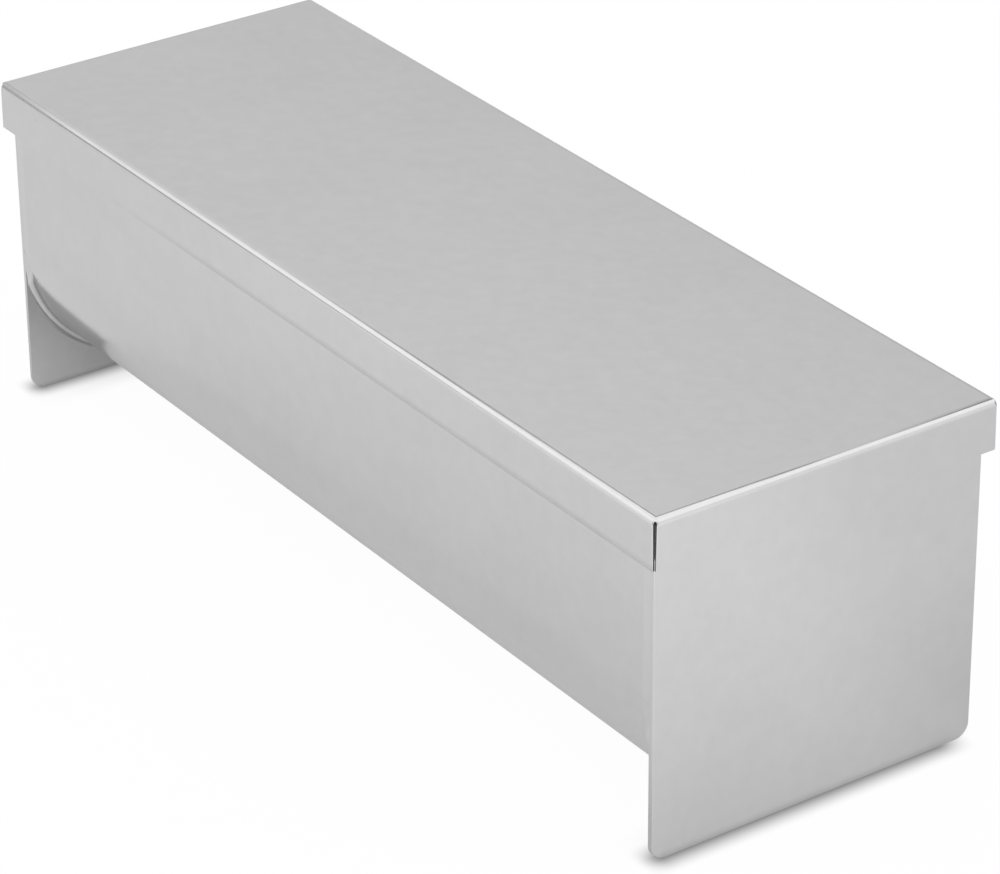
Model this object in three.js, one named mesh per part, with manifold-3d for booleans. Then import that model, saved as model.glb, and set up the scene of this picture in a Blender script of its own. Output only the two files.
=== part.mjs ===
// Terrine mould in stainless steel sheet, with a slip-on lid.
//
// A U-shaped trough is welded between two upright end plates. The plates reach down past the bottom of the
// trough, so their lower edges are the feet that carry it. The trough and the plates have hemmed rims, and
// a folded lid with open corner slits slips over them and lifts off.
//
// Millimetres, +Z up. X runs along the mould, Y across it, and the origin is on the table under its centre.

import * as THREE from "three";
import { mergeVertices } from "three/addons/utils/BufferGeometryUtils.js";
import Module from "manifold-3d";

// Driving dimensions
const HEIGHT = 94; // table to the top of the lid
const BODY_LENGTH = 294.4; // over the outer faces of the end plates
const BODY_WIDTH = 96.6; // over the trough's walls, flush with the plates' edges
const LID_LENGTH = 300;
const LID_WIDTH = 101;
const SKIRT_DEPTH = 13.5;
const FOOT_CLEARANCE = 5; // table to the bottom of the trough
const BOTTOM_ROUND = 40; // outer radius of the bends from the trough's walls to its narrow flat bottom
const FOOT_CORNER = 4; // round of the plates' lower corners

// Sheet thicknesses and folds
const TROUGH_SHEET = 0.8;
const PLATE_SHEET = 1.5;
const LID_SHEET = 0.8;
const LID_BEND = 2; // outer radius of the lid's folded edges
const LID_CORNER = 1.5; // round of the lid's corners, seen from above
const HEM_DEPTH = 6;
const HEM_GAP = 0.2; // slot left inside each folded rim
const PLATE_HEM_NOTCH = 3; // the plates' hems stop short of their corners by this much
const SEAT_GAP = 0.3; // lid to rim

// Corner slits of the lid
const SLIT_WIDTH_TOP = 1.1;
const SLIT_WIDTH_BOTTOM = 0.6;
const SLIT_START = 0.6; // the folded edges stay closed for this depth below the lid's top
const SLIT_INNER_SHARE = 0.05; // share of the width that is left where the sheet's inner corners meet

// Welded seams
const WELD_ROUND = 1.15; // radius of the bead
const WELD_FROM_PLATE = 0.95; // plate to the middle of the bead's round
const WELD_FROM_TROUGH = 0.4; // trough to the middle of the bead's round
const WELD_FLUSH_LENGTH = 2.5; // reach along the trough where the weld is dressed flush with the plate's edge
const WELD_FLUSH_ANGLE = THREE.MathUtils.degToRad(9); // below the horizontal, the dressed part ends here
const WELD_BEAD_ANGLE = THREE.MathUtils.degToRad(16); // and the bead is whole from here down
const WELD_LEAST = 0.2; // thickness of the dressed part where it starts
const ROOT_GAP = 0.05; // hairline left between the welded pieces

// Facets
const BOTTOM_STEPS = 32;
const FOLD_STEPS = 8;
const CORNER_STEPS = 8;
const WELD_STEPS = 32;
const WELD_ROUND_STEPS = 7;

// Worked-out places
const WALL_Y = BODY_WIDTH / 2;
const BOTTOM_ROUND_Y = WALL_Y - BOTTOM_ROUND; // middles of the trough's lower bends
const BOTTOM_ROUND_Z = FOOT_CLEARANCE + BOTTOM_ROUND;
const RIM_Z = HEIGHT - LID_SHEET - SEAT_GAP;
const PLATE_OUTER_X = BODY_LENGTH / 2;
const PLATE_INNER_X = PLATE_OUTER_X - PLATE_SHEET;

const steel = (name, color, roughness) =>
  new THREE.MeshStandardMaterial({ name, color, metalness: 1, roughness });
const rolledSteel = steel("rolled_steel", 0xc3c4c6, 0.22);
const lidSteel = steel("lid_steel", 0xc6c7c9, 0.26);
const weldSteel = steel("weld_steel", 0xcfd0d2, 0.18);

const X_AXIS = new THREE.Vector3(1, 0, 0);
const Y_AXIS = new THREE.Vector3(0, 1, 0);
const Z_AXIS = new THREE.Vector3(0, 0, 1);

const wasm = await Module();
wasm.setup();

function toSolid(geometry) {
  const bare = geometry.clone();
  bare.deleteAttribute("normal");
  bare.deleteAttribute("uv");
  const merged = mergeVertices(bare, 1e-4);
  return new wasm.Manifold(
    new wasm.Mesh({
      numProp: 3,
      vertProperties: merged.attributes.position.array,
      triVerts: new Uint32Array(merged.index.array),
    }),
  );
}

function toGeometry(solid) {
  const mesh = solid.getMesh();
  const geometry = new THREE.BufferGeometry();
  geometry.setAttribute("position", new THREE.BufferAttribute(mesh.vertProperties, 3));
  geometry.setIndex(new THREE.BufferAttribute(mesh.triVerts, 1));
  geometry.computeVertexNormals();
  return geometry;
}

// Points of a circular arc in a profile, from one angle to another. Falling angles run clockwise.
function arc(u, v, radius, from, to, steps) {
  return new THREE.EllipseCurve(u, v, radius, radius, from, to, to < from).getPoints(steps);
}

function extrude(points, depth) {
  const geometry = new THREE.ExtrudeGeometry(new THREE.Shape(points), { depth, bevelEnabled: false });
  return geometry.translate(0, 0, -depth / 2);
}

// A profile drawn in Y and Z, drawn out along X, centred on the origin.
function alongX(points, length) {
  return extrude(points, length).applyMatrix4(new THREE.Matrix4().makeBasis(Y_AXIS, Z_AXIS, X_AXIS));
}

// A profile drawn in X and Z, drawn out along Y, centred on the origin.
function alongY(points, length) {
  const back = Y_AXIS.clone().negate();
  return extrude(points, length).applyMatrix4(new THREE.Matrix4().makeBasis(X_AXIS, Z_AXIS, back));
}

// A profile drawn in X and Y, drawn out along Z between two heights.
function alongZ(points, bottom, top) {
  return extrude(points, top - bottom).translate(0, 0, (bottom + top) / 2);
}

// Outside of a hemmed rim, as a profile: from the free edge of the outer leaf, over the fold, to the inner
// face of the wall. The wall's outer face is the given distance out.
function hemOuter(face, sheet) {
  const middle = face + HEM_GAP / 2;
  const radius = sheet + HEM_GAP / 2;
  const leafBottom = new THREE.Vector2(middle + radius, RIM_Z - HEM_DEPTH);
  return [leafBottom, ...arc(middle, RIM_Z - radius, radius, 0, Math.PI, FOLD_STEPS)];
}

// Slot inside the same hem: from the wall's outer face, under the fold, down to the free edge.
function hemInner(face, sheet) {
  const middle = face + HEM_GAP / 2;
  const foldZ = RIM_Z - sheet - HEM_GAP / 2;
  const leafBottom = new THREE.Vector2(face + HEM_GAP, RIM_Z - HEM_DEPTH);
  return [...arc(middle, foldZ, HEM_GAP / 2, Math.PI, 0, FOLD_STEPS), leafBottom];
}

const mirrored = (points) => points.map((p) => new THREE.Vector2(-p.x, p.y)).reverse();

// Trough: one sheet rolled to a U, with both long rims folded outwards.
function troughGeometry() {
  const outerHem = hemOuter(WALL_Y, TROUGH_SHEET);
  const innerHem = hemInner(WALL_Y, TROUGH_SHEET);
  const bend = (radius) => arc(BOTTOM_ROUND_Y, BOTTOM_ROUND_Z, radius, 0, -Math.PI / 2, BOTTOM_STEPS);
  const falling = bend(BOTTOM_ROUND - TROUGH_SHEET);
  const rising = bend(BOTTOM_ROUND).reverse();
  const inner = [...outerHem, ...falling, ...mirrored(falling), ...mirrored(outerHem)];
  const outer = [...mirrored(innerHem), ...mirrored(rising), ...rising, ...innerHem];
  return alongX([...inner, ...outer], 2 * (PLATE_INNER_X - ROOT_GAP));
}

// End plate: a flat blank with round lower corners, and its rim folded outwards.
function endPlateGeometry() {
  const half = WALL_Y;
  const foldZ = RIM_Z - PLATE_SHEET - HEM_GAP / 2;
  const blank = [
    new THREE.Vector2(half, foldZ),
    new THREE.Vector2(-half, foldZ),
    ...arc(-half + FOOT_CORNER, FOOT_CORNER, FOOT_CORNER, Math.PI, 1.5 * Math.PI, CORNER_STEPS),
    ...arc(half - FOOT_CORNER, FOOT_CORNER, FOOT_CORNER, 1.5 * Math.PI, 2 * Math.PI, CORNER_STEPS),
  ];
  const sheet = alongX(blank, PLATE_SHEET).translate(PLATE_OUTER_X - PLATE_SHEET / 2, 0, 0);
  const wallBottom = RIM_Z - HEM_DEPTH;
  const fold = [
    ...hemOuter(PLATE_OUTER_X, PLATE_SHEET),
    new THREE.Vector2(PLATE_INNER_X, wallBottom),
    new THREE.Vector2(PLATE_OUTER_X, wallBottom),
    ...hemInner(PLATE_OUTER_X, PLATE_SHEET),
  ];
  const hem = alongY(fold, BODY_WIDTH - 2 * PLATE_HEM_NOTCH);
  return toGeometry(toSolid(sheet).add(toSolid(hem)));
}

// Face of the weld on one of the trough's lower bends, at an angle below the horizontal, from the plate to
// the trough: distances out from the trough and along it. Where the plate's side edge is near, the face
// slopes from that edge to the wall. Further down it is a round bead.
function weldFace(angle) {
  const reach = WELD_FROM_TROUGH + WELD_ROUND;
  const toSideEdge = BOTTOM_ROUND / Math.cos(angle) - BOTTOM_ROUND - 2 * ROOT_GAP;
  const room = Math.min(toSideEdge, reach);
  const flatten = room / reach;
  const atPlate = Math.acos(-WELD_FROM_PLATE / WELD_ROUND);
  const atTrough = -Math.asin(WELD_FROM_TROUGH / WELD_ROUND);
  const beadShare = THREE.MathUtils.smoothstep(angle, WELD_FLUSH_ANGLE, WELD_BEAD_ANGLE);
  const points = [];
  for (let k = 0; k <= WELD_ROUND_STEPS; k++) {
    const share = k / WELD_ROUND_STEPS;
    const turn = THREE.MathUtils.lerp(atPlate, atTrough, share);
    const bead = new THREE.Vector2(
      flatten * (WELD_FROM_TROUGH + WELD_ROUND * Math.sin(turn)),
      WELD_FROM_PLATE + WELD_ROUND * Math.cos(turn),
    );
    const flush = new THREE.Vector2(room * (1 - share), WELD_FLUSH_LENGTH * share);
    points.push(flush.lerp(bead, beadShare));
  }
  return points;
}

// Rings of points round the weld's section, from the top of one bend of the trough down to its flat bottom.
function weldRings() {
  const start = Math.acos(BOTTOM_ROUND / (BOTTOM_ROUND + WELD_LEAST + 2 * ROOT_GAP));
  const rings = [];
  for (let i = 0; i <= WELD_STEPS; i++) {
    const angle = THREE.MathUtils.lerp(start, Math.PI / 2, i / WELD_STEPS);
    const section = [new THREE.Vector2(), ...weldFace(angle)];
    rings.push(
      section.map(({ x: out, y: along }) => {
        const radius = BOTTOM_ROUND + ROOT_GAP + out;
        const y = -BOTTOM_ROUND_Y - radius * Math.cos(angle);
        const z = BOTTOM_ROUND_Z - radius * Math.sin(angle);
        return new THREE.Vector3(PLATE_INNER_X - ROOT_GAP - along, y, z);
      }),
    );
  }
  return rings;
}

// Weld seam: runs round the outside of the trough, in the corner that it makes with an end plate.
function weldSeamGeometry() {
  const otherSide = new THREE.Vector3(1, -1, 1);
  const firstHalf = weldRings();
  const secondHalf = firstHalf.map((ring) => ring.map((p) => p.clone().multiply(otherSide))).reverse();
  const rings = [...firstHalf, ...secondHalf];
  const ringSize = WELD_ROUND_STEPS + 2;
  const triangles = [];
  for (let i = 0; i < rings.length - 1; i++) {
    for (let k = 0; k < ringSize; k++) {
      const next = (k + 1) % ringSize;
      const [a, b] = [i * ringSize + k, i * ringSize + next];
      const [c, d] = [a + ringSize, b + ringSize];
      triangles.push(a, b, c, b, d, c);
    }
  }
  const last = (rings.length - 1) * ringSize;
  for (let k = 1; k < ringSize - 1; k++) {
    triangles.push(0, k + 1, k);
    triangles.push(last, last + k, last + k + 1);
  }
  const geometry = new THREE.BufferGeometry().setFromPoints(rings.flat());
  geometry.setIndex(triangles);
  geometry.computeVertexNormals();
  return geometry;
}

// A block with its upper long edges rounded, as a profile of half width, top, bottom and radius.
function roundedTop(half, top, bottom, radius) {
  return [
    new THREE.Vector2(half, bottom),
    ...arc(half - radius, top - radius, radius, 0, Math.PI / 2, FOLD_STEPS),
    ...arc(-half + radius, top - radius, radius, Math.PI / 2, Math.PI, FOLD_STEPS),
    new THREE.Vector2(-half, bottom),
  ];
}

// The lid seen from above, with round corners.
function lidPlan(halfLength, halfWidth, radius) {
  const [x, y] = [halfLength - radius, halfWidth - radius];
  const quarter = Math.PI / 2;
  return [
    ...arc(x, y, radius, 0, quarter, CORNER_STEPS),
    ...arc(-x, y, radius, quarter, 2 * quarter, CORNER_STEPS),
    ...arc(-x, -y, radius, 2 * quarter, 3 * quarter, CORNER_STEPS),
    ...arc(x, -y, radius, 3 * quarter, 4 * quarter, CORNER_STEPS),
  ];
}

// The block inside the lid's outer or inner faces: two rounded-top extrusions that cross at right angles,
// so that the rounded edges meet in mitres, within an upright one that rounds the corners.
function lidBlock(inset, bottom) {
  const [halfLength, halfWidth] = [LID_LENGTH / 2 - inset, LID_WIDTH / 2 - inset];
  const [top, radius] = [HEIGHT - inset, LID_BEND - inset];
  const lengthwise = alongX(roundedTop(halfWidth, top, bottom, radius), 2 * halfLength);
  const crosswise = alongY(roundedTop(halfLength, top, bottom, radius), 2 * halfWidth);
  const upright = alongZ(lidPlan(halfLength, halfWidth, LID_CORNER - inset), bottom, top);
  return toSolid(lengthwise).intersect(toSolid(crosswise)).intersect(toSolid(upright));
}

// Cutter for one corner slit, set across the corner's diagonal. It is round at the top and narrows downwards,
// and also inwards, as the gap does between two sheet ends that are cut square.
function slitCutter(signX, signY) {
  const [wide, narrow] = [SLIT_WIDTH_TOP / 2, SLIT_WIDTH_BOTTOM / 2];
  const top = HEIGHT - SLIT_START;
  const past = 1;
  const bottom = HEIGHT - SKIRT_DEPTH - past;
  const outline = [
    new THREE.Vector2(narrow, bottom),
    ...arc(0, top - wide, wide, 0, Math.PI, FOLD_STEPS),
    new THREE.Vector2(-narrow, bottom),
  ];
  const outerCorner = (1 - Math.SQRT2) * LID_CORNER;
  const innerCorner = -2 * LID_SHEET;
  const cutter = alongX(outline, 2 * (outerCorner - innerCorner));
  const { position } = cutter.attributes;
  for (let i = 0; i < position.count; i++) {
    const share = position.getX(i) < 0 ? SLIT_INNER_SHARE : 2 - SLIT_INNER_SHARE;
    position.setY(i, position.getY(i) * share);
  }
  return cutter
    .translate(outerCorner, 0, 0)
    .rotateZ(Math.atan2(signY, signX))
    .translate((signX * LID_LENGTH) / 2, (signY * LID_WIDTH) / 2, 0);
}

// Lid: one blank folded down on four sides. The corners are left open as narrow slits.
function lidGeometry() {
  const skirtBottom = HEIGHT - SKIRT_DEPTH;
  const past = 1;
  let solid = lidBlock(0, skirtBottom).subtract(lidBlock(LID_SHEET, skirtBottom - past));
  for (const signX of [-1, 1]) {
    for (const signY of [-1, 1]) solid = solid.subtract(toSolid(slitCutter(signX, signY)));
  }
  return toGeometry(solid);
}

function piece(name, geometry, material) {
  const mesh = new THREE.Mesh(geometry, material);
  mesh.name = name;
  return mesh;
}

// Both ends are alike: the rear one is the front one turned half round.
function end(name) {
  const group = new THREE.Group();
  group.add(piece(`${name}_end_plate`, endPlateGeometry(), rolledSteel));
  group.add(piece(`${name}_weld_seam`, weldSeamGeometry(), weldSteel));
  return group;
}

const mould = new THREE.Group();
mould.add(piece("trough", troughGeometry(), rolledSteel));
mould.add(end("front"));
const rear = end("rear");
rear.rotation.z = Math.PI;
mould.add(rear);
mould.add(piece("lid", lidGeometry(), lidSteel));

export default mould;
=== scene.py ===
import math

import bmesh
import bpy
from mathutils import Matrix, Vector


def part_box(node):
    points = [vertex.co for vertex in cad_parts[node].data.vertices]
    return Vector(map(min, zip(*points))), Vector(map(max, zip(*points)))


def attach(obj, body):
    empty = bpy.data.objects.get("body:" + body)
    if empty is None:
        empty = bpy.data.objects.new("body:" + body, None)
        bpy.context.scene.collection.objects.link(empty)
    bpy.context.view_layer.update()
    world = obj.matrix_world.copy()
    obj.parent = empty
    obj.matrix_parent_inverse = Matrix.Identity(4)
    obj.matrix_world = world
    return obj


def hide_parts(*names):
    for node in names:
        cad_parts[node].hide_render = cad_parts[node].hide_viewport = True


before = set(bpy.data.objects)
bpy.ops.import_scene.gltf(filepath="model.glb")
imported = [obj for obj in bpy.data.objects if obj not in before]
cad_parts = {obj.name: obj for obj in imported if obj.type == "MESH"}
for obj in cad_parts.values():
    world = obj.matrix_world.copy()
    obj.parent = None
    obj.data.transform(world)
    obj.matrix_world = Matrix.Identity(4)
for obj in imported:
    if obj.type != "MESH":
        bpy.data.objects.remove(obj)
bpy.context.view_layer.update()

# Trough
# One sheet of bright stainless steel, bent to a U with straight walls and a narrow flat bottom. Both long
# rims are folded outwards into hems, so that no cut edge is left where the lid slips on. It is welded to
# the end plates, and the last few millimetres beside them are polished along with the welds.
MM = 0.001
TROUGH_SHEET = 0.8 * MM
HEM_GAP = 0.2 * MM
HEM_DEPTH = 6 * MM
BOTTOM_ROUND = 40 * MM
BOTTOM_STEPS = 64
FOLD_STEPS = 10
SHARP_ANGLE = math.radians(40)
SHEET_TINT = 0.555
SHEET_ROUGHNESS = 0.17
POLISHED_WIDTH = 2.5 * MM
POLISHED_FADE = 0.4 * MM
X_AXIS = Vector((1, 0, 0))
Y_AXIS = Vector((0, 1, 0))
Z_AXIS = Vector((0, 0, 1))

plate_low, plate_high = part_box("front_end_plate")
trough_low, trough_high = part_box("trough")
PLATE_INNER_X = plate_low.x
BODY_HALF_WIDTH = plate_high.y
RIM_Z = trough_high.z
BOTTOM_Z = trough_low.z
ROUND_Y = BODY_HALF_WIDTH - BOTTOM_ROUND
ROUND_Z = BOTTOM_Z + BOTTOM_ROUND


class Sock:
    """A shader socket in a node tree, with the sums that are used written as Python operators."""

    def __init__(self, tree, socket):
        self.tree = tree
        self.socket = socket

    def node(self, kind, settings=(), out=0, **values):
        """Adds a node, sets its settings and then its inputs, and gives one of its outputs."""
        node = self.tree.nodes.new(kind)
        for name, value in dict(settings).items():
            setattr(node, name, value)
        for name, value in values.items():
            key = int(name[1:]) if name[0] == "_" else name.replace("_", " ")
            if isinstance(value, Sock):
                self.tree.links.new(value.socket, node.inputs[key])
            else:
                node.inputs[key].default_value = value
        return Sock(self.tree, node.outputs[out])

    def maths(self, operation, first, second=0.0):
        return self.node("ShaderNodeMath", {"operation": operation}, _0=first, _1=second)

    def ramp(self, start, end):
        """Goes smoothly from 0 to 1 as the value goes from start to end."""
        smooth = {"interpolation_type": "SMOOTHSTEP"}
        return self.node("ShaderNodeMapRange", smooth, Value=self, From_Min=start, From_Max=end)

    def at_least(self, low):
        return self.maths("MAXIMUM", self, low)

    def hypot(self, other):
        return self.maths("SQRT", self * self + other * other)

    def __abs__(self):
        return self.maths("ABSOLUTE", self)

    def __add__(self, other):
        return self.maths("ADD", self, other)

    def __sub__(self, other):
        return self.maths("SUBTRACT", self, other)

    def __rsub__(self, other):
        return self.maths("SUBTRACT", other, self)

    def __mul__(self, other):
        return self.maths("MULTIPLY", self, other)

    __radd__ = __add__
    __rmul__ = __mul__


def bright_steel(name, grain_axis, tint, roughness, polished=None, painted_shade=None):
    """Rolled stainless steel: a soft mirror with faint rolling lines, clouds, smudges, fine handling
    scratches, a few specks and a barely uneven surface. Two functions of the place say where it is
    polished and where painted shade makes it darker and rougher."""
    LINE_FINENESS, LINE_STRETCH = 900.0, 12.0
    CLOUD_SCALE, SMUDGE_SCALE, SWIRL_SCALE, WAVE_SCALE = 24.0, 200.0, 90.0, 22.0
    SCRATCH_WIDTH = 0.006
    SPECK_SCALE, SPECK_CORE, SPECK_RIM = 70.0, 0.02, 0.09
    SPECK_SHARE, SPECK_SHARE_FADE = 0.8, 0.1
    RELIEF_HEIGHT, LINE_RELIEF = 0.02 * MM, 0.05
    LEAST_TONE = 0.897

    def noise(at, scale, detail, rough=0.5, distortion=0.0):
        settings = {"Detail": detail, "Roughness": rough, "Distortion": distortion}
        return at.node("ShaderNodeTexNoise", Vector=at, Scale=scale, **settings)

    material = bpy.data.materials.new(name)
    material.use_nodes = True
    tree = material.node_tree
    shader = tree.nodes["Principled BSDF"]
    shader.inputs["Metallic"].default_value = 1.0
    place = Sock(tree, tree.nodes.new("ShaderNodeTexCoord").outputs["Object"])
    x, y, z = (place.node("ShaderNodeSeparateXYZ", out=axis, Vector=place) for axis in "XYZ")
    drawn = [LINE_STRETCH if axis == grain_axis else LINE_FINENESS for axis in "XYZ"]
    along_grain = place.node("ShaderNodeVectorMath", {"operation": "MULTIPLY"}, _0=place, _1=drawn)
    lines = noise(along_grain, scale=1.0, detail=3.0, rough=0.6)
    clouds = noise(place, CLOUD_SCALE, detail=4.0, rough=0.6)
    smudges = noise(place, SMUDGE_SCALE, detail=4.0, rough=0.65)
    swirl = noise(place, SWIRL_SCALE, detail=2.0, distortion=2.5)
    scratches = 1 - abs(swirl - 0.5).ramp(0.0, SCRATCH_WIDTH)
    from_speck = place.node("ShaderNodeTexVoronoi", out="Distance", Vector=place, Scale=SPECK_SCALE)
    speck_colour = place.node("ShaderNodeTexVoronoi", out="Color", Vector=place, Scale=SPECK_SCALE)
    speck_draw = place.node("ShaderNodeSeparateColor", out="Red", Color=speck_colour)
    speck_chosen = speck_draw.ramp(SPECK_SHARE, SPECK_SHARE + SPECK_SHARE_FADE)
    specks = (1 - from_speck.ramp(SPECK_CORE, SPECK_RIM)) * speck_chosen
    tone = LEAST_TONE + 0.08 * clouds + 0.10 * smudges + 0.01 * lines
    tone = tone - 0.02 * scratches - 0.04 * specks
    rough = (roughness - 0.03) + 0.03 * lines + 0.05 * clouds + 0.03 * scratches + 0.05 * specks
    if polished:
        smoothed = polished(x, y, z)
        tone = tone + 0.03 * smoothed
        rough = rough - 0.04 * smoothed
    # Painted shade: where the given function says, the steel is drawn darker and rougher.
    if painted_shade:
        shade_amount = painted_shade(x, y, z)
        tone = tone - 0.14 * shade_amount
        rough = rough + 0.12 * shade_amount
    grey = tone * tint
    colour = place.node("ShaderNodeCombineColor", Red=grey, Green=grey, Blue=grey)
    waves = noise(place, WAVE_SCALE, detail=1.0)
    uneven = place.node("ShaderNodeBump", Strength=1.0, Distance=RELIEF_HEIGHT, Height=waves)
    relief = place.node(
        "ShaderNodeBump", Strength=LINE_RELIEF, Distance=RELIEF_HEIGHT, Height=lines, Normal=uneven
    )
    for socket, value in (("Base Color", colour), ("Roughness", rough), ("Normal", relief)):
        tree.links.new(value.socket, shader.inputs[socket])
    return material


def verts_of(geom):
    return [v for v in geom if isinstance(v, bmesh.types.BMVert)]


def edges_of(geom):
    return [e for e in geom if isinstance(e, bmesh.types.BMEdge)]


def put_together(name, bm, material, body, node):
    """Makes a finished mesh an object, shaded smooth over bends and sharp over cut edges."""
    bmesh.ops.recalc_face_normals(bm, faces=bm.faces)
    if bm.calc_volume(signed=True) < 0:
        bmesh.ops.reverse_faces(bm, faces=bm.faces)
    for face in bm.faces:
        face.smooth = True
    for edge in bm.edges:
        edge.smooth = len(edge.link_faces) == 2 and edge.calc_face_angle() < SHARP_ANGLE
    mesh = bpy.data.meshes.new(name)
    bm.to_mesh(mesh)
    bm.free()
    piece = bpy.data.objects.new(name, mesh)
    bpy.context.scene.collection.objects.link(piece)
    mesh.materials.append(material)
    flats = piece.modifiers.new("flat faces stay flat", "WEIGHTED_NORMAL")
    flats.keep_sharp = True
    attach(piece, body)
    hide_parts(node)


def step_to(bm, vert, y, z):
    """Draws the section on to a point, in a straight line."""
    new = bmesh.ops.extrude_vert_indiv(bm, verts=[vert])["verts"][0]
    new.co = (vert.co.x, y, z)
    return new


def turn(bm, vert, y, z, angle, steps):
    """Draws the section on round a bend with its centre at a point."""
    centre = (vert.co.x, y, z)
    arc = bmesh.ops.spin(
        bm, geom=[vert], cent=centre, axis=X_AXIS, angle=angle, steps=steps, use_duplicate=False
    )
    return verts_of(arc["geom_last"])[0]


def polished_ends(x, y, z):
    """The ends of the trough, polished along with the welds."""
    start = PLATE_INNER_X - POLISHED_WIDTH
    return abs(x).ramp(start - POLISHED_FADE, start + POLISHED_FADE)


bm = bmesh.new()
fold_radius = TROUGH_SHEET + HEM_GAP / 2
fold_y = BODY_HALF_WIDTH + HEM_GAP / 2
fold_z = RIM_Z - fold_radius
leaf_y = fold_y + fold_radius
wall_y = BODY_HALF_WIDTH - TROUGH_SHEET
tip = bm.verts.new((-PLATE_INNER_X, -leaf_y, RIM_Z - HEM_DEPTH))
tip = step_to(bm, tip, -leaf_y, fold_z)
tip = turn(bm, tip, -fold_y, fold_z, -math.pi, FOLD_STEPS)
tip = step_to(bm, tip, -wall_y, ROUND_Z)
tip = turn(bm, tip, -ROUND_Y, ROUND_Z, math.pi / 2, BOTTOM_STEPS)
tip = step_to(bm, tip, ROUND_Y, tip.co.z)
tip = turn(bm, tip, ROUND_Y, ROUND_Z, math.pi / 2, BOTTOM_STEPS)
tip = step_to(bm, tip, wall_y, fold_z)
tip = turn(bm, tip, fold_y, fold_z, -math.pi, FOLD_STEPS)
step_to(bm, tip, leaf_y, RIM_Z - HEM_DEPTH)
lengthened = bmesh.ops.extrude_edge_only(bm, edges=bm.edges[:])["geom"]
bmesh.ops.translate(bm, verts=verts_of(lengthened), vec=2 * PLATE_INNER_X * X_AXIS)
bmesh.ops.recalc_face_normals(bm, faces=bm.faces)
bmesh.ops.solidify(bm, geom=bm.faces[:], thickness=TROUGH_SHEET)
sheet_steel = bright_steel(
    "rolled sheet steel", "X", SHEET_TINT, SHEET_ROUGHNESS, polished=polished_ends
)
put_together("rolled_trough", bm, sheet_steel, "mould_body", "trough")

# End plates
# Flat blanks of thicker sheet with round lower corners, whose straight lower edges are the feet. The rim of
# each is folded outwards like the trough's, and stops short of the corners. The cut edges are dressed round.
PLATE_SHEET = 1.5 * MM
FOOT_CORNER = 4 * MM
CORNER_STEPS = 16
HEM_NOTCH = 3 * MM
EDGE_ROUND = 0.4 * MM
EDGE_STEPS = 4
CUT_ANGLE = math.radians(60)
NEAR = 0.01 * MM
# Painted shade on the plates: their cut outline near the feet, and a dark line beside the toe of the weld.
EDGE_SHADE_MARGIN = (FOOT_CORNER - 0.2 * MM, FOOT_CORNER - 0.05 * MM)
EDGE_SHADE_FADE = (8 * MM, 36 * MM)
WELD_TOE = 1.8 * MM
TOE_FADE = (0.2 * MM, 0.8 * MM)
TOE_HEIGHT = (12 * MM, 24 * MM)
TOE_DARKNESS = 1.9
INNER_FACE = (PLATE_INNER_X + 0.1 * MM, PLATE_INNER_X + 0.2 * MM)


def round_cut_edges(bm, edges, size):
    """Dresses cut edges of a sheet to a small round."""
    bmesh.ops.bevel(
        bm, geom=edges, affect="EDGES", offset=size, segments=EDGE_STEPS, profile=0.5, material=-1,
        clamp_overlap=True,
    )


def turn_to_rear(bm):
    """Turns a piece made for the front end round to the rear end."""
    half_turn = Matrix.Rotation(math.pi, 3, "Z")
    bmesh.ops.rotate(bm, verts=bm.verts, cent=(0, 0, 0), matrix=half_turn)


def plate_painted_shade(x, y, z):
    """Painted shade on an end plate: its cut outline near the feet, darker towards the bottom, and a dark
    line on its inner face along the toe of its weld.
    """
    past_side = (abs(y) - (BODY_HALF_WIDTH - FOOT_CORNER)).at_least(0.0)
    past_foot = (FOOT_CORNER - z).at_least(0.0)
    edge_shade = past_side.hypot(past_foot).ramp(*EDGE_SHADE_MARGIN) * (1 - z.ramp(*EDGE_SHADE_FADE))
    past_flat = (abs(y) - ROUND_Y).at_least(0.0)
    from_trough = past_flat.hypot(ROUND_Z - z) - BOTTOM_ROUND
    toe = (1 - abs(from_trough - WELD_TOE).ramp(*TOE_FADE)) * (1 - z.ramp(*TOE_HEIGHT))
    on_inner_face = 1 - abs(x).ramp(*INNER_FACE)
    return edge_shade + TOE_DARKNESS * toe * on_inner_face


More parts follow.
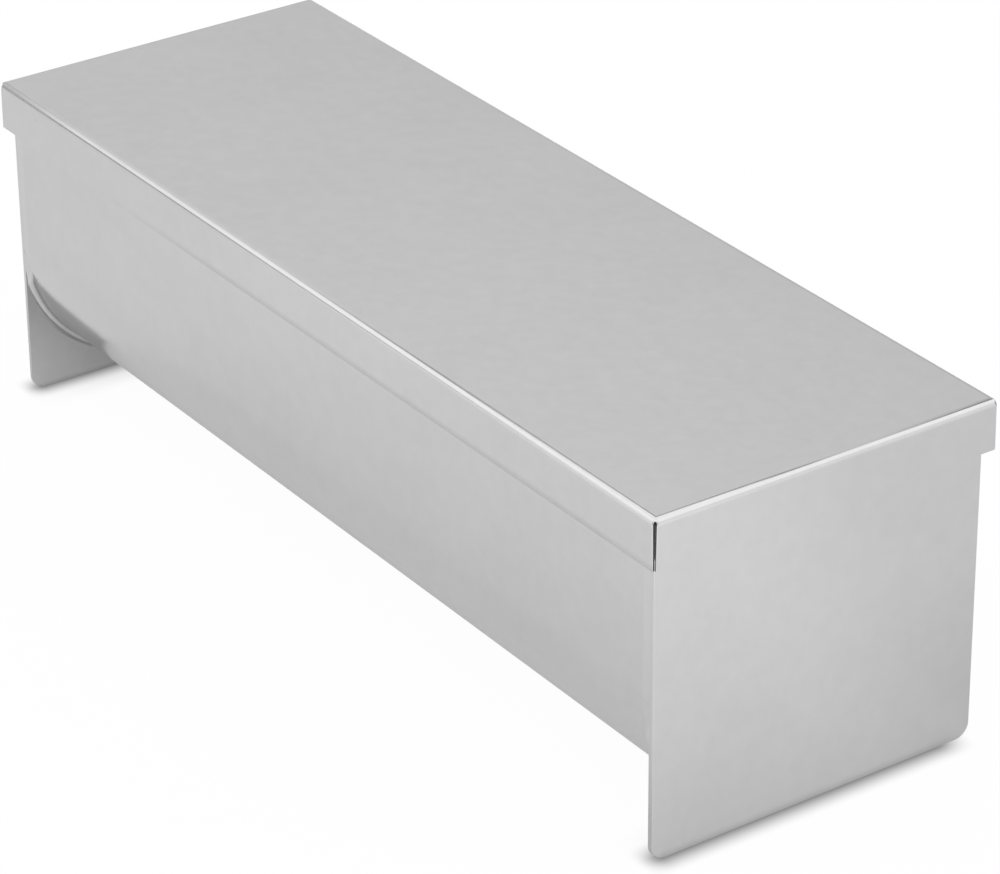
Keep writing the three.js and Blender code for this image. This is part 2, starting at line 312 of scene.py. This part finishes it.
plate_steel = bright_steel(
    "end plate steel", "Z", SHEET_TINT, SHEET_ROUGHNESS, painted_shade=plate_painted_shade
)
hem_half = BODY_HALF_WIDTH - HEM_NOTCH
plate_fold_radius = PLATE_SHEET + HEM_GAP / 2
plate_fold_z = RIM_Z - plate_fold_radius
plate_fold_centre = (PLATE_INNER_X + plate_fold_radius, 0, plate_fold_z)
plate_leaf_drop = HEM_DEPTH - plate_fold_radius
plate_outer_x = PLATE_INNER_X + PLATE_SHEET
for end in ("front", "rear"):
    bm = bmesh.new()
    feet = [bm.verts.new((PLATE_INNER_X, y, 0)) for y in (BODY_HALF_WIDTH, -BODY_HALF_WIDTH)]
    rim = [
        bm.verts.new((PLATE_INNER_X, y, plate_fold_z))
        for y in (-BODY_HALF_WIDTH, -hem_half, hem_half, BODY_HALF_WIDTH)
    ]
    bm.faces.new(feet + rim)
    bmesh.ops.bevel(
        bm, geom=feet, affect="VERTICES", offset=FOOT_CORNER, segments=CORNER_STEPS, profile=0.5,
        material=-1,
    )
    hem_edge = bm.edges.get((rim[1], rim[2]))
    fold = bmesh.ops.spin(
        bm, geom=[hem_edge, rim[1], rim[2]], cent=plate_fold_centre, axis=Y_AXIS, angle=math.pi,
        steps=FOLD_STEPS, use_duplicate=False,
    )
    leaf = bmesh.ops.extrude_edge_only(bm, edges=edges_of(fold["geom_last"]))["geom"]
    bmesh.ops.translate(bm, verts=verts_of(leaf), vec=-plate_leaf_drop * Z_AXIS)
    bmesh.ops.recalc_face_normals(bm, faces=bm.faces)
    bmesh.ops.solidify(bm, geom=bm.faces[:], thickness=PLATE_SHEET)
    cut = [
        e for e in bm.edges
        if e.calc_face_angle(0) > CUT_ANGLE
        and all(abs(v.co.x - plate_outer_x) < NEAR for v in e.verts)
        and any(v.co.z < plate_fold_z - NEAR for v in e.verts)
    ]
    round_cut_edges(bm, cut, EDGE_ROUND)
    if end == "rear":
        turn_to_rear(bm)
    put_together(f"{end}_plate", bm, plate_steel, "mould_body", f"{end}_end_plate")

# Weld seams
# Weld metal round the outside of the trough in the corner with each end plate, polished smooth. At the sides
# it is dressed flush with the plate's edge; below, where the plate stands clear, it is left as a round bead.
WELD_TINT = 0.57
WELD_ROUGHNESS = 0.14
WELD_ROUND = 1.15 * MM
WELD_FROM_PLATE = 0.95 * MM
WELD_FROM_TROUGH = 0.4 * MM
WELD_FLUSH_LENGTH = 2.5 * MM
WELD_FLUSH_ANGLE = math.radians(9)
WELD_BEAD_ANGLE = math.radians(16)
WELD_LEAST = 0.05 * MM
WELD_STEPS = 80
WELD_ROUND_STEPS = 12
WELD_REACH = WELD_FROM_TROUGH + WELD_ROUND
ROUND_AT_PLATE = math.acos(-WELD_FROM_PLATE / WELD_ROUND)
ROUND_AT_TROUGH = -math.asin(WELD_FROM_TROUGH / WELD_ROUND)
# Painted shade on the side of the bead next to the plate, darker towards the bottom.
BEAD_SIDE = (PLATE_INNER_X - 1.0 * MM, PLATE_INNER_X - 0.5 * MM)
BEAD_SIDE_HEIGHT = (14 * MM, 30 * MM)
BEAD_SIDE_DARKNESS = 3.5


def dress_weld(vert):
    """Moves a point of the full bead to where the dressing leaves it, on the bends of the trough: squeezed to
    the room beside the plate's edge, and near the top on a straight slope from that edge to the wall."""
    side_y, below_z = abs(vert.co.y) - ROUND_Y, ROUND_Z - vert.co.z
    out = math.hypot(side_y, below_z) - BOTTOM_ROUND
    along = PLATE_INNER_X - vert.co.x
    on_flat_bottom = side_y < NEAR
    at_root = math.hypot(out, along) < NEAR
    if on_flat_bottom or at_root:
        return
    angle = math.atan2(below_z, side_y)
    room = min(BOTTOM_ROUND / math.cos(angle) - BOTTOM_ROUND, WELD_REACH)
    round_angle = math.atan2(out - WELD_FROM_TROUGH, along - WELD_FROM_PLATE)
    share = (ROUND_AT_PLATE - round_angle) / (ROUND_AT_PLATE - ROUND_AT_TROUGH)
    bead = min(max((angle - WELD_FLUSH_ANGLE) / (WELD_BEAD_ANGLE - WELD_FLUSH_ANGLE), 0), 1)
    bead = bead * bead * (3 - 2 * bead)
    out = (1 - bead) * room * (1 - share) + bead * out * room / WELD_REACH
    along = (1 - bead) * WELD_FLUSH_LENGTH * share + bead * along
    y = ROUND_Y + (BOTTOM_ROUND + out) * math.cos(angle)
    z = ROUND_Z - (BOTTOM_ROUND + out) * math.sin(angle)
    vert.co = (PLATE_INNER_X - along, math.copysign(y, vert.co.y), z)


def weld_toe(x, y, z):
    """The side of the bead next to the plate: painted shade in the corner, darker towards the bottom."""
    return BEAD_SIDE_DARKNESS * abs(x).ramp(*BEAD_SIDE) * (1 - z.ramp(*BEAD_SIDE_HEIGHT))


weld_steel = bright_steel("polished weld", "Y", WELD_TINT, WELD_ROUGHNESS, painted_shade=weld_toe)
weld_start = math.acos(BOTTOM_ROUND / (BOTTOM_ROUND + WELD_LEAST))
left_bend_axis = (PLATE_INNER_X, -ROUND_Y, ROUND_Z)
right_bend_axis = (PLATE_INNER_X, ROUND_Y, ROUND_Z)
weld_sweep = {
    "axis": X_AXIS, "angle": math.pi / 2 - weld_start, "steps": WELD_STEPS, "use_duplicate": False
}
for end in ("front", "rear"):
    bm = bmesh.new()
    root = bm.verts.new((PLATE_INNER_X, -BODY_HALF_WIDTH, ROUND_Z))
    round_centre = root.co + Vector((-WELD_FROM_PLATE, -WELD_FROM_TROUGH, 0))
    plate_reach = WELD_ROUND * math.sin(ROUND_AT_PLATE)
    at_plate = bm.verts.new((PLATE_INNER_X, round_centre.y - plate_reach, ROUND_Z))
    bmesh.ops.spin(
        bm, geom=[at_plate], cent=round_centre, axis=Z_AXIS, angle=ROUND_AT_TROUGH - ROUND_AT_PLATE,
        steps=WELD_ROUND_STEPS, use_duplicate=False,
    )
    bm.verts.ensure_lookup_table()
    bm.edges.new((root, at_plate))
    bm.edges.new((bm.verts[-1], root))
    start_turn = Matrix.Rotation(weld_start, 3, "X")
    bmesh.ops.rotate(bm, verts=bm.verts, cent=left_bend_axis, matrix=start_turn)
    section = bm.verts[:] + bm.edges[:]
    swept = bmesh.ops.spin(bm, geom=section, cent=left_bend_axis, **weld_sweep)["geom_last"]
    across = bmesh.ops.extrude_edge_only(bm, edges=edges_of(swept))["geom"]
    far_verts = verts_of(across)
    far_edges = [e for e in edges_of(across) if all(v in far_verts for v in e.verts)]
    bmesh.ops.translate(bm, verts=far_verts, vec=2 * ROUND_Y * Y_AXIS)
    bmesh.ops.spin(bm, geom=far_verts + far_edges, cent=right_bend_axis, **weld_sweep)
    bmesh.ops.holes_fill(bm, edges=[e for e in bm.edges if e.is_boundary], sides=0)
    for vert in bm.verts:
        dress_weld(vert)
    if end == "rear":
        turn_to_rear(bm)
    put_together(f"{end}_weld_bead", bm, weld_steel, "mould_body", f"{end}_weld_seam")

# Lid
# One blank folded down on four sides over a small radius. The corners aren't joined: the folded edges stay
# closed at the top, and below them a slit is left between the skirts, narrowing towards the bottom.
LID_SHEET = 0.8 * MM
LID_BEND = 2.0 * MM
BEND_STEPS = 16
SLIT_START = 0.6 * MM
SLIT_WIDTH_TOP = 1.05 * MM
SLIT_WIDTH_BOTTOM = 0.8 * MM
SLIT_INNER_TOP = 0.3 * MM
SLIT_INNER_BOTTOM = 0.1 * MM
SLIT_ROUND_STEPS = 6
SLIT_EDGE_ROUND = 0.3 * MM
SKIRT_EDGE_ROUND = 0.25 * MM
SKIRT_EDGE_LEAST = 10 * MM
CLOSED_ANGLE = math.acos(1 - SLIT_START / LID_BEND)
SAME_PLACE = 0.001 * MM
# Painted shade: a dark line along the lower edges of the long skirts towards the near end.
SKIRT_SHADE_HEIGHT = 2.2 * MM
SKIRT_SHADE_DEPTH = (0.4 * MM, 0.8 * MM)
SKIRT_SHADE_ALONG = (-110 * MM, -20 * MM)
# Painted dark reflection on the left bend near the far end.
BEND_REFLECTION_SIDE = (0.9 * MM, 1.7 * MM)
BEND_REFLECTION_DROP = (1.0 * MM, 1.7 * MM)
BEND_REFLECTION_LENGTH = 45 * MM
BEND_REFLECTION_DARKNESS = 1.7
# Painted shade on the faces inside the slits.
SLIT_SHADE_DEPTH = (0.12 * MM, 0.32 * MM)
SLIT_SHADE_REACH = (1.5 * MM, 1.8 * MM)
SLIT_SHADE_DROP = (1.0 * MM, 1.5 * MM)
SLIT_SHADE_DARKNESS = 4

lid_low, lid_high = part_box("lid")


def lid_rows(inset):
    """Rows of one side of the folded sheet below its flat panel: distance out, height and half slit."""
    radius = LID_BEND - inset
    bend_z = lid_high.z - LID_BEND
    rows = []
    for k in range(1, BEND_STEPS + 1):
        angle = CLOSED_ANGLE * k / BEND_STEPS
        rows.append((radius * math.sin(angle), bend_z + radius * math.cos(angle), 0.0))
    wide = (SLIT_INNER_TOP if inset else SLIT_WIDTH_TOP) / 2
    narrow = (SLIT_INNER_BOTTOM if inset else SLIT_WIDTH_BOTTOM) / 2
    end_drop = SLIT_WIDTH_TOP / 2
    for k in range(1, SLIT_ROUND_STEPS + 1):
        angle = math.pi / 2 * k / SLIT_ROUND_STEPS
        z = bend_z + radius * math.cos(CLOSED_ANGLE) - end_drop * (1 - math.cos(angle))
        bend_rise = max(z - bend_z, 0)
        rows.append((math.sqrt(radius**2 - bend_rise**2), z, wide * math.sin(angle)))
    rows.append((radius, bend_z, wide))
    rows.append((radius, lid_low.z, narrow))
    return rows


def lid_skin(bm, inset):
    """The outer face of the folded sheet, or the inner one, inset by the sheet."""
    panel_x = lid_high.x - LID_BEND
    panel_y = lid_high.y - LID_BEND
    top = lid_high.z - inset
    signs = ((1, 1), (-1, 1), (-1, -1), (1, -1))
    corners = [bm.verts.new((x * panel_x, y * panel_y, top)) for x, y in signs]
    bm.faces.new(corners)
    for k in range(4):
        first, last = corners[k], corners[(k + 1) % 4]
        starts = (first.co.copy(), last.co.copy())
        middle = (starts[0] + starts[1]) / 2
        outward = Vector((middle.x, middle.y, 0)).normalized()
        along = (starts[1] - starts[0]).normalized()
        edge = bm.edges.get((first, last))
        for out, z, slit in lid_rows(inset):
            grown = bmesh.ops.extrude_edge_only(bm, edges=[edge])["geom"]
            edge = edges_of(grown)[0]
            for vert in edge.verts:
                past = (vert.co - middle).dot(along) > 0
                mitre = along * (out - slit * math.sqrt(2)) * (1 if past else -1)
                place = starts[past] + outward * out + mitre
                vert.co = (place.x, place.y, z)


def lid_painted_shade(x, y, z):
    """Painted shade on the lid: a dark line along the lower edges of the long skirts towards the near end, a
    painted dark reflection on the left bend near the far end, and darker faces in the slits between the
    skirts."""
    from_end, from_side, from_top = lid_high.x - abs(x), lid_high.y - abs(y), lid_high.z - z
    at_lower_edge = 1 - z.ramp(lid_low.z, lid_low.z + SKIRT_SHADE_HEIGHT)
    skirt_edge_shade = at_lower_edge * (1 - from_side.ramp(*SKIRT_SHADE_DEPTH)) * x.ramp(*SKIRT_SHADE_ALONG)
    from_left, from_far_end = y + lid_high.y, x + lid_high.x
    on_left_bend = (1 - from_left.ramp(*BEND_REFLECTION_SIDE)) * (1 - from_top.ramp(*BEND_REFLECTION_DROP))
    bend_dark_reflection = on_left_bend * (1 - from_far_end.ramp(0.0, BEND_REFLECTION_LENGTH))
    in_sheet = x.maths("MINIMUM", from_end, from_side).ramp(*SLIT_SHADE_DEPTH)
    at_corner = 1 - x.maths("MAXIMUM", from_end, from_side).ramp(*SLIT_SHADE_REACH)
    slit_shade = in_sheet * at_corner * from_top.ramp(*SLIT_SHADE_DROP)
    return skirt_edge_shade + BEND_REFLECTION_DARKNESS * bend_dark_reflection + SLIT_SHADE_DARKNESS * slit_shade


bm = bmesh.new()
lid_skin(bm, 0)
bmesh.ops.remove_doubles(bm, verts=bm.verts, dist=SAME_PLACE)
outer_rims = [e for e in bm.edges if e.is_boundary]
lid_skin(bm, LID_SHEET)
bmesh.ops.remove_doubles(bm, verts=bm.verts, dist=SAME_PLACE)
bmesh.ops.bridge_loops(bm, edges=[e for e in bm.edges if e.is_boundary])
outer_lips = [e for e in outer_rims if any(v.co.z > lid_low.z + NEAR for v in e.verts)]
round_cut_edges(bm, outer_lips, SLIT_EDGE_ROUND)
skirt_edges = [
    e for e in bm.edges
    if all(v.co.z < lid_low.z + NEAR for v in e.verts) and e.calc_length() > SKIRT_EDGE_LEAST
]
round_cut_edges(bm, skirt_edges, SKIRT_EDGE_ROUND)
bmesh.ops.dissolve_degenerate(bm, dist=SAME_PLACE, edges=bm.edges)
lid_steel = bright_steel("lid steel", "X", SHEET_TINT, SHEET_ROUGHNESS, painted_shade=lid_painted_shade)
put_together("folded_lid", bm, lid_steel, "lid", "lid")

# Studio
# A plain pale floor that runs on past the picture, with the object's shadow close about its feet, and a
# white surround with broad softboxes above and behind, and darker gaps at their sides.
FLOOR_SIZE = 6.0
FLOOR_TONE = 0.9
CAMERA_SHADOW_SHARE = 0.03
MIRROR_SHADOW_SHARE = 0.62
FOOT_X = PLATE_INNER_X + PLATE_SHEET / 2
FOOT_LEFT = (-52 * MM, -44.5 * MM)
FOOT_RIGHT = (38 * MM, 48.5 * MM)
CONTACT_REACH = (-3.4 * MM, 6.8 * MM)
MIRRORED_CONTACT = 0.4
MIRRORED_CONTACT_REACH = (0.0, 3 * MM)
INSIDE_SHADE = 0.2
INSIDE_EDGE = (FOOT_X - 1 * MM, FOOT_X + 1 * MM)
INSIDE_WIDTH = (20 * MM, 54 * MM)
INSIDE_REACH = (3 * MM, 14 * MM)
MIRROR_LEVEL = 1.06
FRONT_GLOW, FAR_FRONT_GLOW = 0.34, 0.75
SIDE_GLOW, SKIRT_GLOW = 0.09, 0.045
FAR_LEFT_GLOW, FAR_LEFT_DIM = 0.8, 0.8
FAR_DIM = 0.10
RIGHT_DIM, RIGHT_BACK_DIM = 0.27, 0.2
RIGHT_DIM_SLANT = 0.4
UNDER_TROUGH_DIM = 0.36

floor_mesh = bpy.data.meshes.new("floor")
bm = bmesh.new()
bmesh.ops.create_grid(bm, x_segments=1, y_segments=1, size=FLOOR_SIZE)
bm.to_mesh(floor_mesh)
bm.free()
floor = bpy.data.objects.new("floor", floor_mesh)
bpy.context.scene.collection.objects.link(floor)
floor_paint = bpy.data.materials.new("pale floor")
floor_paint.use_nodes = True
tree = floor_paint.node_tree
tree.nodes.remove(tree.nodes["Principled BSDF"])
rays = tree.nodes.new("ShaderNodeLightPath").outputs
by_camera = Sock(tree, rays["Is Camera Ray"])
in_mirror = Sock(tree, rays["Is Glossy Ray"]) + Sock(tree, rays["Is Transmission Ray"])
place = Sock(tree, tree.nodes.new("ShaderNodeTexCoord").outputs["Object"])
along = place.node("ShaderNodeSeparateXYZ", out="X", Vector=place)
across = place.node("ShaderNodeSeparateXYZ", out="Y", Vector=place)

# The shadow close about the feet, and a soft shade on the floor between the plates
from_foot = (abs(abs(along) - FOOT_X) - PLATE_SHEET / 2).at_least(0.0)
at_foot = across.ramp(*FOOT_LEFT) * (1 - across.ramp(*FOOT_RIGHT))
contact = 1 - (1 - from_foot.ramp(*CONTACT_REACH)) * at_foot
inside = (1 - abs(along).ramp(*INSIDE_EDGE)) * (1 - abs(across).ramp(*INSIDE_WIDTH))
contact = contact * (1 - INSIDE_SHADE * inside * (1 - from_foot.ramp(*INSIDE_REACH)))

# The floor as the steel mirrors it: a level, and strengths of light and shade that come in between two
# places in metres. It is brighter in front and on the left, and dimmer on the right and under the trough.
front_glow = FRONT_GLOW * along.ramp(0.10, 0.24) + FAR_FRONT_GLOW * along.ramp(0.27, 0.5)
front_left_glow = along.ramp(0.15, 0.22) * (1 - across.ramp(-0.178, -0.15))
side_glow = SIDE_GLOW * along.ramp(-0.3, -0.1) * (1 - across.ramp(-0.125, -0.085))
skirt_glow = SKIRT_GLOW * (1 - across.ramp(-0.142, -0.128)) * (1 - along.ramp(-0.12, 0.05))
far_dim = FAR_DIM * (1 - along.ramp(-0.32, -0.12))
nearer = (along - 0.2).at_least(-0.05)
on_right = (across - RIGHT_DIM_SLANT * nearer).ramp(0.03, 0.10)
right_back = across.ramp(0.02, 0.07) * (1 - along.ramp(0.16, 0.23))
under_trough = (1 - abs(across).ramp(0.0, 0.06)) * (1 - abs(along).ramp(0.14, 0.15))
mirrored = MIRROR_LEVEL + front_glow + front_left_glow + side_glow + skirt_glow - far_dim
mirrored = mirrored * (1 - RIGHT_DIM * on_right) * (1 - RIGHT_BACK_DIM * right_back)
mirrored = mirrored * (1 - UNDER_TROUGH_DIM * under_trough)
bearing = place.maths("ARCTAN2", 0 - across, 0 - along)
far_left_light = bearing.ramp(math.radians(41), math.radians(47))
far_left_glow = FAR_LEFT_GLOW * (1 - across.ramp(-0.45, -0.17)) * far_left_light
far_left_dim = FAR_LEFT_DIM * along.hypot(across).ramp(0.45, 0.8) * (1 - far_left_light)
far_left_dim = far_left_dim * bearing.ramp(math.radians(15), math.radians(20))
mirrored = mirrored + far_left_glow - far_left_dim
mirrored_contact = 1 - MIRRORED_CONTACT * (1 - from_foot.ramp(*MIRRORED_CONTACT_REACH)) * at_foot

shine = by_camera * contact + in_mirror * mirrored * mirrored_contact
lit = place.node("ShaderNodeBsdfDiffuse", Color=(FLOOR_TONE, FLOOR_TONE, FLOOR_TONE, 1))
white = place.node("ShaderNodeEmission", Color=shine, Strength=1.0)
white_share = by_camera * (1 - CAMERA_SHADOW_SHARE) + in_mirror * (1 - MIRROR_SHADOW_SHARE)
mixed = place.node("ShaderNodeMixShader", _0=white_share, _1=lit, _2=white)
tree.links.new(mixed.socket, tree.nodes["Material Output"].inputs["Surface"])
floor_mesh.materials.append(floor_paint)

LOW_LIGHT = 0.735
HEIGHT_GAIN = 0.17
SIDE_GAIN = 0.06
SOFTBOX = 1.62
SIDE_SOFTBOX = 1.52
DARK_GAP = 0.3
LOW_DARK_GAP = 0.25
SIDE_FILL = 1.22
LEFT_BOX_LOWEST = math.radians(36)
LEFT_BOX_SLOPE_START = math.radians(58.9)
LEFT_BOX_SLOPE = 1.27
LEFT_BOX_FADE = 0.35

world = bpy.data.worlds.new("white surround")
bpy.context.scene.world = world
world.use_nodes = True
tree = world.node_tree
direction = Sock(tree, tree.nodes.new("ShaderNodeTexCoord").outputs["Generated"])
x, y, z = (direction.node("ShaderNodeSeparateXYZ", out=axis, Vector=direction) for axis in "XYZ")
heading = x.maths("ARCTAN2", 0 - y, 0 - x)
height = z.maths("ARCSINE", z)


def turned(angle, start, end):
    """Goes smoothly from 0 to 1 as an angle goes from start to end, in degrees."""
    return angle.ramp(math.radians(start), math.radians(end))


def card(light, strength, headings, heights, soft):
    """Hangs a softbox or a dark card before the surround, between two headings and heights in degrees."""
    cover = 1.0
    for value, (low, high) in ((heading, headings), (height, heights)):
        middle = math.radians((low + high) / 2)
        half = (high - low) / 2
        cover = cover * (1 - turned(abs(value - middle), half - soft, half + soft))
    return light + cover * (strength - light)


# The lid mirrors the plain surround, which grows lighter with height and between the two sides
higher = turned(height, 22, 29.5)
from_left = turned(height + 0.55 * heading, 4.6, 6.4)
from_right = turned(heading, -45, -35)
light = LOW_LIGHT + HEIGHT_GAIN * higher + SIDE_GAIN * from_left + SIDE_GAIN * from_right
light = card(light, SOFTBOX, headings=(-160, 4), heights=(49.5, 68), soft=1.5)
light = card(light, SIDE_SOFTBOX, headings=(-160, -100), heights=(27, 68), soft=2)

# The left softbox has a slanting lower border, and fades towards its far side
slant = LEFT_BOX_SLOPE_START - LEFT_BOX_SLOPE * heading
left_box = turned(height - height.maths("MINIMUM", LEFT_BOX_LOWEST, slant), -2.5, 2.5)
left_box = left_box * turned(heading, -20, 28) * (1 - turned(height, 49, 51))
left_box = left_box * (1 - LEFT_BOX_FADE * turned(heading, 34, 47)) * (1 - turned(heading, 58, 62))
light = light + left_box * (SOFTBOX - light)

light = card(light, DARK_GAP, headings=(-60, -25), heights=(41.3, 49.5), soft=1.2)
light = card(light, DARK_GAP, headings=(-32, 9), heights=(42.6, 49.5), soft=1.2)
light = card(light, LOW_DARK_GAP, headings=(15, 42), heights=(-6, 13.5), soft=2)
light = card(light, SIDE_FILL, headings=(-170, -125), heights=(-6, 27), soft=3)
seen_plain = Sock(tree, tree.nodes.new("ShaderNodeLightPath").outputs["Is Camera Ray"])
shown = light + seen_plain * (1 - light)
tree.links.new(shown.socket, tree.nodes["Background"].inputs["Color"])

# Camera
# The viewing angle of the photograph: from the front left, looking down along the mould.
CAMERA_PLACE = Vector((846.22, -571.55, 585.41)) * MM
CAMERA_TURN = math.radians(55.456)
CAMERA_DIP = math.radians(28.388)
CAMERA_ROLL = math.radians(-0.52)
SENSOR_WIDTH = 36.0
FOCAL_PIXELS = 4459.6
IMAGE_WIDTH = 1000

camera_data = bpy.data.cameras.new("camera")
camera_data.sensor_width = SENSOR_WIDTH
camera_data.lens = FOCAL_PIXELS * SENSOR_WIDTH / IMAGE_WIDTH
camera_data.clip_start = 0.01
camera_data.clip_end = 50.0
camera = bpy.data.objects.new("camera", camera_data)
bpy.context.scene.collection.objects.link(camera)
camera.matrix_world = (
    Matrix.Translation(CAMERA_PLACE)
    @ Matrix.Rotation(CAMERA_TURN, 4, "Z")
    @ Matrix.Rotation(math.pi / 2 - CAMERA_DIP, 4, "X")
    @ Matrix.Rotation(CAMERA_ROLL, 4, "Z")
)
bpy.context.scene.camera = camera
bpy.context.scene.view_settings.view_transform = "Standard"
